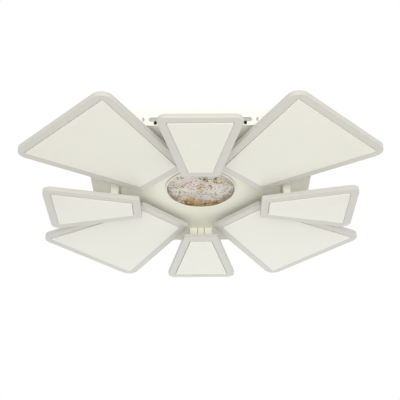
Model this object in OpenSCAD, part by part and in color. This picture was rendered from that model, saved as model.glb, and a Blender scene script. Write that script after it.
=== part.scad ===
// Square-bodied LED ceiling chandelier: four large and four small petal panels
// under a vented tray, round a bubble crystal disc.
// Millimetres, +Z up. The origin is on the ceiling, at the middle of the bracket.

/* [Chassis] */
// Width and depth of the square tray
chassis_w = 540; // [510:5:600]
// Height of the tray's walls
chassis_h = 44.5; // [40:0.5:60]
// Sheet thickness of the tray
chassis_sheet = 1.0; // [0.8:0.1:1.4]
// Radius of the tray's upright corners
chassis_corner_r = 10; // [5:1:18]
// Gap between the tray's rim and the ceiling
ceiling_gap = 0.5; // [0.3:0.1:2]
// Length of one vent slot
vent_len = 51.5; // [30:0.5:54]
// Height of one vent slot
vent_h = 12; // [6:0.5:14]
// Distance between neighbouring vent slots' centres
vent_pitch = 60.5; // [58:0.5:80]
// Height of the slots' lower edge above the tray's underside
vent_rise = 10; // [9:0.5:16]

/* [Ceiling bracket] */
// Distance between the two rails' centres
rail_spacing = 202; // [196:2:230]
// Width of a rail
rail_w = 24; // [18:1:30]
// Width of the turned-down tab at each end of a rail
tab_w = 60; // [40:2:64]
// Thickness of the bracket's steel
rail_t = 2; // [1.5:0.1:2.5]
// Width of the strap between the rails
strap_w = 60; // [50:2:90]
// Diameter of the cable hole in the strap
cable_hole_d = 26; // [16:1:34]
// Distance along the rails between ceiling screws
fixing_spacing = 300; // [200:5:360]
// Diameter of the ceiling screw holes
fixing_hole_d = 5.5; // [4.5:0.1:7]
// Distance between the strap's two screw holes
strap_hole_spacing = 90; // [70:1:110]
// Sliding clearance between a tab and its neighbours
tab_gap = 0.3; // [0.2:0.05:0.6]
// Gap under a tab's lower end
tab_foot_gap = 0.6; // [0.4:0.1:2]

/* [Side screws] */
// Diameter of a side screw's shank
side_screw_d = 4; // [3:0.1:5]
// Diameter of a side screw's head
side_head_d = 7; // [6:0.1:8.5]
// Length of a side screw's head
side_head_l = 5; // [3:0.5:8]
// Height of the side screws above the tray's underside
side_screw_rise = 5.2; // [5:0.1:5.4]
// Width across the flats of the clamp nut
clamp_nut_af = 7; // [6:0.1:7.2]
// Thickness of the clamp nut
clamp_nut_t = 3.2; // [2:0.1:4]
// Width that a hole or a notch has over its screw
screw_hole_gap = 0.8; // [0.5:0.1:1.2]

/* [Large panels] */
// Distance from the middle to the large diffuser's inner edge
large_inner = 145; // [138:1:150]
// Distance from the middle to the large diffuser's outer edge
large_outer = 430; // [400:1:460]
// Width of the large diffuser's inner edge
large_inner_w = 128; // [116:1:136]
// Width of the large diffuser's outer edge
large_outer_w = 278; // [250:1:290]
// Corner radius at the large frame's inner end
large_inner_r = 7; // [4:0.5:12]
// Corner radius at the large frame's outer end
large_outer_r = 27; // [15:1:34]
// Height of the spacers over a large panel
large_drop = 18; // [15:0.5:24]
// Distance from the middle to the large panel's inner spacer
large_spacer_at = 190; // [182:1:196]
// Distance between the large panel's two spacers
large_spacer_step = 130; // [60:1:134]

/* [Small panels] */
// Distance from the middle to the small diffuser's inner edge
small_inner = 168; // [160:1:174]
// Distance from the middle to the small diffuser's outer edge
small_outer = 360; // [340:1:380]
// Width of the small diffuser's inner edge
small_inner_w = 56; // [52:1:62]
// Width of the small diffuser's outer edge
small_outer_w = 144; // [120:1:150]
// Corner radius at the small frame's inner end
small_inner_r = 6; // [4:0.5:10]
// Corner radius at the small frame's outer end
small_outer_r = 19; // [12:1:26]
// Height of the spacer over a small panel
small_drop = 49; // [44:0.5:60]
// Distance from the middle to the small panel's spacer
small_spacer_at = 212; // [206:1:218]

/* [Frames and diffusers] */
// Width of a frame's border round its diffuser
border = 20; // [16:0.5:22]
// Height of a frame's skirt
frame_h = 11; // [9:0.5:14]
// Sheet thickness of a frame
frame_sheet = 1.2; // [0.8:0.1:1.6]
// Corner radius of a frame's window
window_r = 2.5; // [1.8:0.1:4]
// Height by which a diffuser stands out of its frame
diffuser_proud = 1.5; // [1:0.5:4]
// Thickness of a diffuser's face
diffuser_face = 3; // [2:0.1:4]
// Thickness of a diffuser's side walls
diffuser_wall = 2.5; // [2:0.1:3.5]
// Gap between a diffuser and its frame's window
diffuser_gap = 0.8; // [0.5:0.1:1.6]

/* [LED boards] */
// Thickness of a panel's board
board_t = 1.2; // [1:0.1:2]
// Gap between a board's edge and its diffuser
board_gap = 1; // [0.5:0.1:2]
// Distance between neighbouring light chips
chip_pitch = 24; // [22:1:27]
// Width of a light chip
chip_w = 3.5; // [2.5:0.1:4.5]
// Height of a light chip
chip_h = 0.8; // [0.5:0.1:1.2]

/* [Spacers and their screws] */
// Size of a spacer along its panel
spacer_depth = 18; // [16:0.5:20]
// Size of a spacer across its panel
spacer_w = 60; // [56:1:62]
// Wall thickness of a spacer
spacer_wall = 1.5; // [1:0.1:2]
// Distance between a spacer's two screw ports
port_spacing = 40; // [36:1:44]
// Outer diameter of a screw port
port_d = 9; // [8:0.1:10]
// Diameter of the panel screws
panel_screw_d = 4; // [3.5:0.1:4.2]
// Head diameter of the panel screws
panel_head_d = 7.5; // [7:0.1:8]
// Head height of the panel screws
panel_head_h = 2.4; // [1.8:0.1:3]
// Length of a panel screw inside its port
screw_bite = 6; // [4:0.5:7]
// Radial clearance of a screw in its own thread
thread_gap = 0.1; // [0.05:0.01:0.15]

/* [Crystal disc] */
// Radius of the disc's ring
ring_r = 88; // [82:1:90]
// Wall thickness of the ring
ring_wall = 1.2; // [0.8:0.1:1.6]
// Height by which the ring stands out of the tray
ring_proud = 4; // [1:0.5:6]
// Width of the ring's inward lip
ring_lip = 2; // [1:0.1:3]
// Width of the ring's two outward flanges
ring_flange = 7; // [6:0.5:8]
// Thickness of the crystal
crystal_t = 14; // [12:0.5:20]
// Gap between the crystal and the ring's wall
crystal_gap = 0.3; // [0.2:0.05:0.6]
// Gap between the crystal and the disc's diffuser
light_gap = 12; // [4:0.5:14]
// Gap between the disc's diffuser and the ring's wall
cap_gap = 3; // [2:0.5:6]
// Thickness of the disc's diffuser
cap_wall = 2; // [1.5:0.1:3]
// Gap between the disc's diffuser and its light chips
cap_chip_gap = 2; // [1:0.5:4]
// Thickness of the disc's board
disc_board_t = 1.6; // [1:0.1:2]
// Thickness of the heat plate
heat_plate_t = 1.5; // [1:0.1:2]
// Diameter of the heat plate's screws
disc_screw_d = 3; // [2.5:0.1:3.2]

/* [Electrics] */
// Length of an LED driver's case
driver_l = 150; // [130:1:156]
// Width of an LED driver's case
driver_w = 46; // [42:1:48]
// Height of an LED driver's case
driver_h = 26; // [25:0.5:28]
// Distance from the middle to an LED driver's centre
driver_at = 135; // [134:1:138]
// Diameter of the leads
lead_d = 2.2; // [1.6:0.1:2.6]
// Distance between the two leads of a panel
lead_spacing = 18; // [14:1:22]
// Width that a lead's hole has over the lead
lead_hole_gap = 1.2; // [0.6:0.1:1.4]
// Gap between the panel leads and the driver studs below them
lead_over_gap = 0.6; // [0.4:0.1:1.5]
// Height of the mains leads above the tray's floor
mains_rise = 14; // [12:0.5:16]
// Length of the terminal block
terminal_l = 50; // [46:1:54]
// Width of the terminal block
terminal_w = 20; // [16:1:22]
// Height of the terminal block
terminal_h = 18; // [17:0.5:20]
// Length of the remote receiver's case
receiver_l = 60; // [50:1:66]
// Width of the remote receiver's case
receiver_w = 30; // [24:1:34]
// Height of the remote receiver's case
receiver_h = 20; // [14:0.5:22]

/* [Hidden] */
$fn = 64;
eps = 0.01;
arc_steps = 8;
through = 1;

panel_count = 4;
corners = [for (x = [-1, 1], y = [-1, 1]) [x, y]];

// Levels
underside = -ceiling_gap - chassis_h;
floor_top = underside + chassis_sheet;
side_screw_z = underside + side_screw_rise;
mains_z = floor_top + mains_rise;

// Tabs, walls and nuts at the ends of the rails, measured from the middle
wall_inside = chassis_w / 2 - chassis_sheet;
tab_outside = wall_inside - tab_gap;
nut_outside = tab_outside - rail_t - tab_gap;
nut_inside = nut_outside - clamp_nut_t;
screw_tail = 1.5;
rail_x = rail_spacing / 2;

// A panel: inner and outer distance, inner and outer width, inner and outer corner radius,
// drop under the tray, distances of its spacers
large = [large_inner, large_outer, large_inner_w, large_outer_w, large_inner_r, large_outer_r,
         large_drop, [large_spacer_at, large_spacer_at + large_spacer_step]];
small = [small_inner, small_outer, small_inner_w, small_outer_w, small_inner_r, small_outer_r,
         small_drop, [small_spacer_at]];
function large_angle(i) = 45 + 90 * (i - 1);
function small_angle(i) = 90 * (i - 1);

function frame_back(p) = underside - p[6];
function frame_face(p) = frame_back(p) - frame_h;
function board_back(p) = frame_back(p) - frame_sheet;
function board_front(p) = board_back(p) - board_t;
function half_width(p, u) = p[2] / 2 + (p[3] - p[2]) / 2 * (u - p[0]) / (p[1] - p[0]);

port_bore_d = panel_screw_d + 2 * thread_gap;
panel_hole_d = panel_screw_d + screw_hole_gap;
lead_hole_d = lead_d + lead_hole_gap;
lead_off = spacer_depth / 2 + lead_hole_d / 2 + 0.2;
lead_bend_r = 3;
function lead_at(p) = p[7][0] - lead_off;

// The disc's levels, from its lip up
rim_z = underside - ring_proud;
crystal_z = rim_z + ring_wall;
cap_z = crystal_z + crystal_t + light_gap;
disc_board_z = cap_z + cap_wall + cap_chip_gap + chip_h;
ring_top = disc_board_z + disc_board_t;
heat_plate_top = ring_top + heat_plate_t;

// The disc's radii
flange_r = ring_r + ring_flange;
ring_hole_gap = 0.3;
disc_screw_r = ring_r + ring_flange / 2;
cap_r = ring_r - ring_wall - cap_gap;
disc_board_r = cap_r - cap_wall - board_gap;
chip_rings = 2;
disc_lead_r = 0.8 * disc_board_r;

// Feet of the drivers, held by nuts on weld studs
foot_l = 11;
foot_w = 14;
foot_t = 1.5;
foot_stud_d = 3;
foot_nut_af = 5.5;
foot_nut_t = 2.4;
stud_tip = 1.5;

// Levels of the leads: those of the panels run over the driver studs, and those
// of the disc go over the heat plate's edge and down to the middle of a driver
lead_z = floor_top + foot_t + foot_nut_t + stud_tip + lead_over_gap + lead_d / 2;
disc_lead_z = heat_plate_top + lead_d / 2 + 1;
disc_lead_end_z = floor_top + driver_h / 2;

// Places of the terminal block, the receiver and the earth stud in the tray.
// The two blocks lie midway between the front wall and the front spacer
driver_edge = driver_at + driver_w / 2;
block_y = -(wall_inside + small_spacer_at) / 2;
terminal_at = [45, block_y];
receiver_at = [-45, block_y];
mains_to_driver = 27;
mains_turn = driver_edge + mains_to_driver;
earth_to_wall = 63;
earth_at = [90, earth_to_wall - wall_inside];
earth_stud_d = 4;
earth_nut_af = 7;
earth_nut_t = 3.2;
washer_t = 0.8;

function unit(v) = v / norm(v);

// Corner points of a panel's trapezoid, grown by a distance on every side
function grown(p, grow) =
    let (slope = (p[3] - p[2]) / 2 / (p[1] - p[0]),
         side = grow * sqrt(1 + slope * slope),
         h0 = p[2] / 2 - grow * slope + side,
         h1 = p[3] / 2 + grow * slope + side)
    [[p[0] - grow, -h0], [p[1] + grow, -h1], [p[1] + grow, h1], [p[0] - grow, h0]];

// The same outline with each corner turned into an arc
function rounded(pts, radii) =
    [for (i = [0:len(pts) - 1])
        let (p = pts[i],
             a = unit(pts[(i + len(pts) - 1) % len(pts)] - p),
             b = unit(pts[(i + 1) % len(pts)] - p),
             angle = acos(a * b),
             r = radii[i],
             centre = p + unit(a + b) * r / sin(angle / 2),
             start = p + a * r / tan(angle / 2) - centre)
        for (k = [0:arc_steps])
            let (turn = (180 - angle) * k / arc_steps)
            centre + [start.x * cos(turn) - start.y * sin(turn),
                      start.x * sin(turn) + start.y * cos(turn)]];

function box_points(w, d) = [[-w / 2, -d / 2], [w / 2, -d / 2], [w / 2, d / 2], [-w / 2, d / 2]];

module rounded_box(w, d, r) polygon(rounded(box_points(w, d), [r, r, r, r]));

// A panel's outline, grown, with a corner radius at the inner and at the outer end
module outline(p, grow, inner_r, outer_r)
    polygon(rounded(grown(p, grow), [inner_r, outer_r, outer_r, inner_r]));

// A path with each square corner turned into a small bend
function bent(pts, r) = concat(
    [pts[0]],
    [for (i = [1:1:len(pts) - 2])
        let (p = pts[i],
             a = unit(pts[i - 1] - p) * r,
             b = unit(pts[i + 1] - p) * r)
        for (turn = [0:30:90]) p + a + b - b * cos(turn) - a * sin(turn)],
    [pts[len(pts) - 1]]);

function tangent(path, i) = unit(path[min(i + 1, len(path) - 1)] - path[max(i - 1, 0)]);

// Side directions of the rings, each turned as little as possible from the last
function sides(path, i = 0, last = [0.36, 0.48, 0.8]) = i == len(path) ? [] :
    let (t = tangent(path, i), n = unit(last - t * (last * t)))
    concat([n], sides(path, i + 1, n));

// A lead: a round tube swept along square-cornered points
module lead(pts) {
    n = 8;
    path = bent(pts, lead_bend_r);
    side = sides(path);
    last = len(path) - 1;
    points = [for (i = [0:last], k = [0:n - 1])
        path[i] + lead_d / 2 * (side[i] * cos(360 * k / n)
                                + cross(tangent(path, i), side[i]) * sin(360 * k / n))];
    walls = [for (i = [0:last - 1], k = [0:n - 1])
        let (a = i * n + k, b = i * n + (k + 1) % n)
        each [[a, a + n, b + n], [a, b + n, b]]];
    ends = [[for (k = [0:n - 1]) k], [for (k = [n - 1:-1:0]) last * n + k]];
    polyhedron(points, concat(walls, ends));
}

// Children at each screw port of a panel
module at_ports(p)
    for (u = p[7], v = [-1, 1])
        translate([u, v * port_spacing / 2, 0]) children();

// Children at each lead hole of a panel
module at_leads(p)
    for (v = [-1, 1])
        translate([lead_at(p), v * lead_spacing / 2, 0]) children();

module at_large(i) rotate([0, 0, large_angle(i)]) children();
module at_small(i) rotate([0, 0, small_angle(i)]) children();

// A screw with its head under Z zero and its shank pointing up
module pan_screw(d, head_d, head_h, length) {
    slot_w = head_d * 0.16;
    slot_l = head_d * 0.6;
    difference() {
        union() {
            translate([0, 0, -head_h]) cylinder(d = head_d, h = head_h);
            translate([0, 0, -eps]) cylinder(d = d, h = length + eps);
        }
        for (turn = [0, 90])
            rotate([0, 0, turn])
                translate([-slot_l / 2, -slot_w / 2, -head_h - through])
                    cube([slot_l, slot_w, head_h * 0.45 + through]);
    }
}

module ceiling_bracket() {
    tab_bottom = floor_top + tab_foot_gap;
    notch_w = side_screw_d + screw_hole_gap;
    color("#c9ccd0")
    difference() {
        union() {
            for (x = [-1, 1])
                translate([x * rail_x - rail_w / 2, -tab_outside, -rail_t])
                    cube([rail_w, 2 * tab_outside, rail_t]);
            translate([-rail_x, -strap_w / 2, -rail_t]) cube([2 * rail_x, strap_w, rail_t]);
            for (c = corners)
                translate([c.x * rail_x - tab_w / 2,
                           c.y * (tab_outside - rail_t / 2) - rail_t / 2, tab_bottom])
                    cube([tab_w, rail_t, -tab_bottom - eps]);
        }
        for (c = corners) {
            translate([c.x * rail_x, c.y * fixing_spacing / 2, -rail_t - through])
                cylinder(d = fixing_hole_d, h = rail_t + 2 * through);
            translate([c.x * rail_x, c.y * tab_outside, side_screw_z])
                rotate([90, 0, 0])
                    cylinder(d = notch_w, h = 3 * rail_t, center = true);
            translate([c.x * rail_x - notch_w / 2, c.y * tab_outside - 1.5 * rail_t,
                       tab_bottom - through])
                cube([notch_w, 3 * rail_t, side_screw_z - tab_bottom + through]);
        }
        translate([0, 0, -rail_t - through])
            cylinder(d = cable_hole_d, h = rail_t + 2 * through);
        for (x = [-1, 1])
            translate([x * strap_hole_spacing / 2, 0, -rail_t - through])
                cylinder(d = fixing_hole_d, h = rail_t + 2 * through);
    }
}

// The row of vent slots of one wall, cut along Y
module vents() {
    vent_r = vent_h / 2 - eps;
    vent_room = chassis_w - 2 * chassis_corner_r - vent_len;
    pairs = floor((vent_room / vent_pitch + 1) / 2);
    for (i = [0:pairs - 1], s = [-1, 1])
        translate([s * (i + 0.5) * vent_pitch, 0, underside + vent_rise + vent_h / 2])
            rotate([90, 0, 0])
                linear_extrude(chassis_w, center = true) rounded_box(vent_len, vent_h, vent_r);
}

module chassis() {
    inner_r = chassis_corner_r - chassis_sheet;
    color("#f4f4f1")
    difference() {
        translate([0, 0, underside])
            linear_extrude(chassis_h) rounded_box(chassis_w, chassis_w, chassis_corner_r);
        translate([0, 0, floor_top])
            linear_extrude(chassis_h)
                rounded_box(2 * wall_inside, 2 * wall_inside, inner_r);
        for (turn = [0, 90])
            rotate([0, 0, turn])
                intersection() {
                    vents();
                    for (s = [-1, 1])
                        translate([-chassis_w / 2, s * (wall_inside + chassis_sheet / 2) - 4,
                                   underside])
                            cube([chassis_w, 8, chassis_h]);
                }
        for (c = corners)
            translate([c.x * rail_x, c.y * wall_inside, side_screw_z])
                rotate([90, 0, 0])
                    cylinder(d = side_screw_d + screw_hole_gap, h = 4 * chassis_sheet,
                             center = true);
        translate([0, 0, underside - through])
            cylinder(r = ring_r + ring_hole_gap, h = chassis_sheet + 2 * through);
        for (i = [1:panel_count]) {
            at_large(i) floor_holes(large);
            at_small(i) floor_holes(small);
        }
    }
}

// The tray's holes for one panel's screws and leads
module floor_holes(p) {
    translate([0, 0, underside - through]) {
        at_ports(p) cylinder(d = panel_hole_d, h = chassis_sheet + 2 * through);
        at_leads(p) cylinder(d = lead_hole_d, h = chassis_sheet + 2 * through);
    }
}

// A side screw stands at one end of a rail, its head outside the wall
module side_screw(i) {
    c = corners[i - 1];
    color("#1c1c1e")
    translate([c.x * rail_x, c.y * chassis_w / 2, side_screw_z])
        rotate([c.y * 90, 0, 0]) {
            tail = chassis_w / 2 - nut_inside + screw_tail;
            pan_screw(side_screw_d, side_head_d, side_head_l, tail);
        }
}

module clamp_nuts() {
    color("#b9bcc0")
    for (c = corners)
        translate([c.x * rail_x, c.y * (nut_outside + nut_inside) / 2, side_screw_z])
            rotate([90, 0, 0])
                difference() {
                    cylinder(d = clamp_nut_af / cos(30), h = clamp_nut_t, center = true, $fn = 6);
                    cylinder(d = side_screw_d + 2 * thread_gap, h = 2 * clamp_nut_t,
                             center = true);
                }
}

// A pressed pan: a skirt, a flat border and a recess for the board and the diffuser
module panel_frame(p) {
    window = diffuser_gap;
    color("#f1f0ec")
    difference() {
        translate([0, 0, frame_face(p)])
            linear_extrude(frame_h) outline(p, border, p[4], p[5]);
        translate([0, 0, frame_face(p) + frame_sheet])
            linear_extrude(frame_h)
                difference() {
                    outline(p, border - frame_sheet, p[4] - frame_sheet, p[5] - frame_sheet);
                    outline(p, window + frame_sheet, window_r + frame_sheet,
                            window_r + frame_sheet);
                }
        translate([0, 0, frame_face(p) - through])
            linear_extrude(frame_h - frame_sheet + through)
                outline(p, window, window_r, window_r);
        translate([0, 0, frame_back(p) - frame_sheet - through]) {
            at_ports(p) cylinder(d = panel_hole_d, h = frame_sheet + 2 * through);
            at_leads(p) cylinder(d = lead_hole_d, h = frame_sheet + 2 * through);
        }
    }
}

// An opal cap that stands on the frame's floor
module panel_diffuser(p) {
    face = frame_face(p) - diffuser_proud;
    corner_r = window_r - diffuser_gap + 1;
    color("#fbfaf0")
    difference() {
        translate([0, 0, face])
            linear_extrude(board_back(p) - face) outline(p, 0, corner_r, corner_r);
        translate([0, 0, face + diffuser_face])
            linear_extrude(frame_h + diffuser_proud)
                outline(p, -diffuser_wall, corner_r, corner_r);
    }
}

// A metal-backed board on the frame's floor, with rows of light chips
module panel_board(p) {
    inset = diffuser_wall + board_gap;
    margin = inset + chip_pitch / 4;
    rows = floor((p[1] - p[0] - 2 * margin) / chip_pitch);
    row_0 = (p[0] + p[1] - rows * chip_pitch) / 2;
    color("#f6f6f2")
    difference() {
        union() {
            translate([0, 0, board_front(p)])
                linear_extrude(board_t) outline(p, -inset, 1, 1);
            for (k = [0:rows]) {
                u = row_0 + k * chip_pitch;
                pairs = floor((half_width(p, u) - margin) / chip_pitch + 0.5);
                for (j = [1:1:pairs], s = [-1, 1])
                    translate([u, s * (j - 0.5) * chip_pitch, board_front(p) - chip_h / 2 + eps])
                        cube([chip_w, chip_w, chip_h + 2 * eps], center = true);
            }
        }
        translate([0, 0, board_front(p) - through])
            at_ports(p) cylinder(d = panel_hole_d, h = board_t + 2 * through);
    }
}

// Extruded box spacers with two screw ports each
module panel_spacers(p) {
    color("#f3f3ee")
    for (u = p[7])
        translate([u, 0, frame_back(p)])
            linear_extrude(p[6])
                difference() {
                    union() {
                        difference() {
                            square([spacer_depth, spacer_w], center = true);
                            square([spacer_depth - 2 * spacer_wall, spacer_w - 2 * spacer_wall],
                                   center = true);
                        }
                        for (v = [-1, 1])
                            translate([0, v * port_spacing / 2]) {
                                circle(d = port_d);
                                square([spacer_depth - spacer_wall, spacer_wall], center = true);
                            }
                    }
                    for (v = [-1, 1])
                        translate([0, v * port_spacing / 2]) circle(d = port_bore_d);
                }
}

// Screws down from the tray and up through the board into a panel's ports
module panel_screws(p) {
    upper = chassis_sheet + screw_bite;
    lower = board_t + frame_sheet + screw_bite;
    at_ports(p) {
        translate([0, 0, floor_top])
            rotate([180, 0, 0]) pan_screw(panel_screw_d, panel_head_d, panel_head_h, upper);
        translate([0, 0, board_front(p)])
            pan_screw(panel_screw_d, panel_head_d, panel_head_h, lower);
    }
}

module large_screws()
    color("#a9adb2")
    for (i = [1:panel_count]) at_large(i) panel_screws(large);

module small_screws()
    color("#a9adb2")
    for (i = [1:panel_count]) at_small(i) panel_screws(small);

// Two leads rise from each large panel and run along X to the end of a driver
module large_leads()
    color("#b4b1a4")
    for (c = corners, v = [-1, 1]) {
        u = lead_at(large);
        x = (u - v * lead_spacing / 2) * cos(45);
        y = (u + v * lead_spacing / 2) * sin(45);
        mirror([c.x < 0 ? 1 : 0, 0, 0])
            mirror([0, c.y < 0 ? 1 : 0, 0])
                lead([[x, y, board_back(large)], [x, y, lead_z], [driver_l / 2, y, lead_z]]);
    }

// Leads of the front and back small panels run straight in to a driver.
// Those of the side panels pass round the crystal disc
module small_leads()
    color("#b4b1a4")
    for (i = [1:panel_count], v = [-1, 1]) {
        u = lead_at(small);
        y = v * lead_spacing / 2;
        start = board_back(small);
        lead_step = (v - 1) / 2 * 6;
        to_disc = 27;
        to_driver = 12;
        to_driver_end = 9;
        near_x = flange_r + to_disc + lead_step;
        near_y = driver_at - driver_w / 2 - to_driver + lead_step;
        end_x = driver_l / 2 - to_driver_end + lead_step;
        at_small(i)
            if (i % 2 == 0)
                lead([[u, y, start], [u, y, lead_z], [driver_edge, y, lead_z]]);
            else
                lead([[u, y, start], [u, y, lead_z], [near_x, y, lead_z],
                      [near_x, near_y, lead_z], [end_x, near_y, lead_z],
                      [end_x, driver_at - driver_w / 2, lead_z]]);
    }

// A flanged ring: lip at the bottom, flange on the tray's floor, flange under the heat plate
module disc_ring() {
    inner = ring_r - ring_wall;
    section = [
        [inner - ring_lip, rim_z], [ring_r, rim_z], [ring_r, floor_top],
        [flange_r, floor_top], [flange_r, floor_top + ring_wall], [ring_r, floor_top + ring_wall],
        [ring_r, ring_top - ring_wall], [flange_r, ring_top - ring_wall], [flange_r, ring_top],
        [inner, ring_top], [inner, rim_z + ring_wall], [inner - ring_lip, rim_z + ring_wall]];
    color("#b98a4a")
    difference() {
        rotate_extrude($fn = 128) polygon(section);
        at_disc_screws()
            translate([0, 0, ring_top - ring_wall - through])
                cylinder(d = disc_screw_d + 2 * thread_gap, h = ring_wall + 2 * through);
    }
}

module at_disc_screws()
    for (turn = [45:90:315])
        rotate([0, 0, turn]) translate([disc_screw_r, 0, 0]) children();

module crystal_disc() {
    r = ring_r - ring_wall - crystal_gap;
    bevel = 0.6;
    color("#dcd2e2", 0.75)
    rotate_extrude($fn = 128)
        polygon([[0, crystal_z], [r - bevel, crystal_z], [r, crystal_z + bevel],
                 [r, crystal_z + crystal_t], [0, crystal_z + crystal_t]]);
}

// An opal cap that stands on the heat plate, round the disc's board
module disc_diffuser() {
    color("#fbfaf0")
    difference() {
        translate([0, 0, cap_z]) cylinder(r = cap_r, h = ring_top - cap_z);
        translate([0, 0, cap_z + cap_wall]) cylinder(r = cap_r - cap_wall, h = ring_top - cap_z);
    }
}

// A round board under the heat plate, with rings of light chips
module disc_board() {
    color("#f6f6f2")
    union() {
        translate([0, 0, disc_board_z]) cylinder(r = disc_board_r, h = disc_board_t);
        for (ring = [1:chip_rings], k = [1:8 * ring])
            rotate([0, 0, 45 * (k - 0.5) / ring])
                translate([disc_board_r * ring / (chip_rings + 1), 0,
                           disc_board_z - chip_h / 2 + eps])
                    cube([chip_w, chip_w, chip_h + 2 * eps], center = true);
    }
}

module heat_plate() {
    color("#c4c6c8")
    difference() {
        translate([0, 0, ring_top]) cylinder(r = flange_r, h = heat_plate_t);
        at_disc_screws()
            translate([0, 0, ring_top - through])
                cylinder(d = disc_screw_d + 2 * thread_gap, h = heat_plate_t + 2 * through);
        for (s = [-1, 1])
            translate([s * lead_spacing / 2, -disc_lead_r, ring_top - through])
                cylinder(d = lead_hole_d, h = heat_plate_t + 2 * through);
    }
}

module disc_screws() {
    below = 2;
    color("#a9adb2")
    at_disc_screws()
        translate([0, 0, heat_plate_top])
            rotate([180, 0, 0])
                pan_screw(disc_screw_d, ring_flange - 1.4, 2, heat_plate_t + ring_wall + below);
}

module disc_leads()
    color("#b4b1a4")
    for (s = [-1, 1]) {
        x = s * lead_spacing / 2;
        driver_side = driver_w / 2 - driver_at;
        down_y = (driver_side - flange_r) / 2;
        lead([[x, -disc_lead_r, ring_top], [x, -disc_lead_r, disc_lead_z],
              [x, down_y, disc_lead_z], [x, down_y, disc_lead_end_z],
              [x, driver_side, disc_lead_end_z]]);
    }

// A driver's case with a screwed foot at each end
module led_driver(side) {
    r = 3;
    color("#ececea")
    translate([0, side * driver_at, floor_top])
        difference() {
            union() {
                linear_extrude(driver_h) rounded_box(driver_l, driver_w, r);
                linear_extrude(foot_t) square([driver_l + 2 * foot_l, foot_w], center = true);
            }
            for (s = [-1, 1])
                translate([s * (driver_l + foot_l) / 2, 0, -through])
                    cylinder(d = foot_stud_d + 2 * thread_gap, h = foot_t + 2 * through);
        }
}

// A stud on the tray's floor, with a hex nut some way up it
module stud_and_nut(d, af, nut_t, lift) {
    cylinder(d = d, h = lift + nut_t + stud_tip);
    translate([0, 0, lift])
        difference() {
            cylinder(d = af / cos(30), h = nut_t, $fn = 6);
            translate([0, 0, -through])
                cylinder(d = d + 2 * thread_gap, h = nut_t + 2 * through);
        }
}

module driver_studs()
    color("#a9adb2")
    for (c = corners)
        translate([c.x * (driver_l + foot_l) / 2, c.y * driver_at, floor_top])
            stud_and_nut(foot_stud_d, foot_nut_af, foot_nut_t, foot_t);

module terminal_block() {
    ways = 5;
    step = terminal_l / ways;
    well = 4;
    color("#e8e8e4")
    translate([terminal_at.x, terminal_at.y, floor_top])
        difference() {
            translate([-terminal_l / 2, -terminal_w / 2, 0])
                cube([terminal_l, terminal_w, terminal_h]);
            for (k = [0:ways - 1])
                translate([(k + 0.5) * step - terminal_l / 2, 0, terminal_h - well])
                    cylinder(d = well, h = well + through);
        }
}

module remote_receiver()
    color("#e6e6e6")
    translate([receiver_at.x, receiver_at.y, floor_top])
        linear_extrude(receiver_h) rounded_box(receiver_l, receiver_w, 2);

// Mains leads from the terminal block to both drivers and to the receiver, and the earth lead
module mains_leads() {
    pair = 6;
    block_top = terminal_at.y + terminal_w / 2;
    near_x = terminal_at.x - 0.2 * terminal_l;
    far_x = terminal_at.x + 0.24 * terminal_l;
    turn_x = rail_x + 5;
    end_y = driver_at + 8;
    earth_z = floor_top + washer_t + earth_nut_t / 2;
    color("#b4b1a4") {
        for (k = [0, pair]) {
            lead([[near_x + k, block_top, mains_z], [near_x + k, -driver_edge, mains_z]]);
            lead([[far_x + k, block_top, mains_z], [far_x + k, -mains_turn - k, mains_z],
                  [turn_x + k, -mains_turn - k, mains_z], [turn_x + k, end_y + k, mains_z],
                  [driver_l / 2, end_y + k, mains_z]]);
            lead([[receiver_at.x + receiver_l / 2, terminal_at.y - k, lead_z],
                  [terminal_at.x - terminal_l / 2, terminal_at.y - k, lead_z]]);
        }
        lead([[terminal_at.x + terminal_l / 2, terminal_at.y, earth_z],
              [earth_at.x, terminal_at.y, earth_z],
              [earth_at.x, earth_at.y - earth_nut_af / 2, earth_z]]);
    }
}

module earth_stud()
    color("#b9bcc0")
    translate([earth_at.x, earth_at.y, floor_top])
        stud_and_nut(earth_stud_d, earth_nut_af, earth_nut_t, washer_t);

ceiling_bracket();
chassis();
clamp_nuts();
large_screws();
small_screws();
large_leads();
small_leads();
disc_ring();
crystal_disc();
disc_diffuser();
disc_board();
heat_plate();
disc_screws();
disc_leads();
led_driver(1);  // led_driver_1
led_driver(-1);  // led_driver_2
driver_studs();
terminal_block();
remote_receiver();
mains_leads();
earth_stud();
for (i = [1:panel_count]) {
    side_screw(i);
    at_large(i) panel_frame(large);
    at_large(i) panel_diffuser(large);
    at_large(i) panel_board(large);
    at_large(i) panel_spacers(large);
    at_small(i) panel_frame(small);
    at_small(i) panel_diffuser(small);
    at_small(i) panel_board(small);
    at_small(i) panel_spacers(small);
}
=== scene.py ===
import math
import random
import bmesh
import bpy
from mathutils import Matrix, Vector


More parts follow.
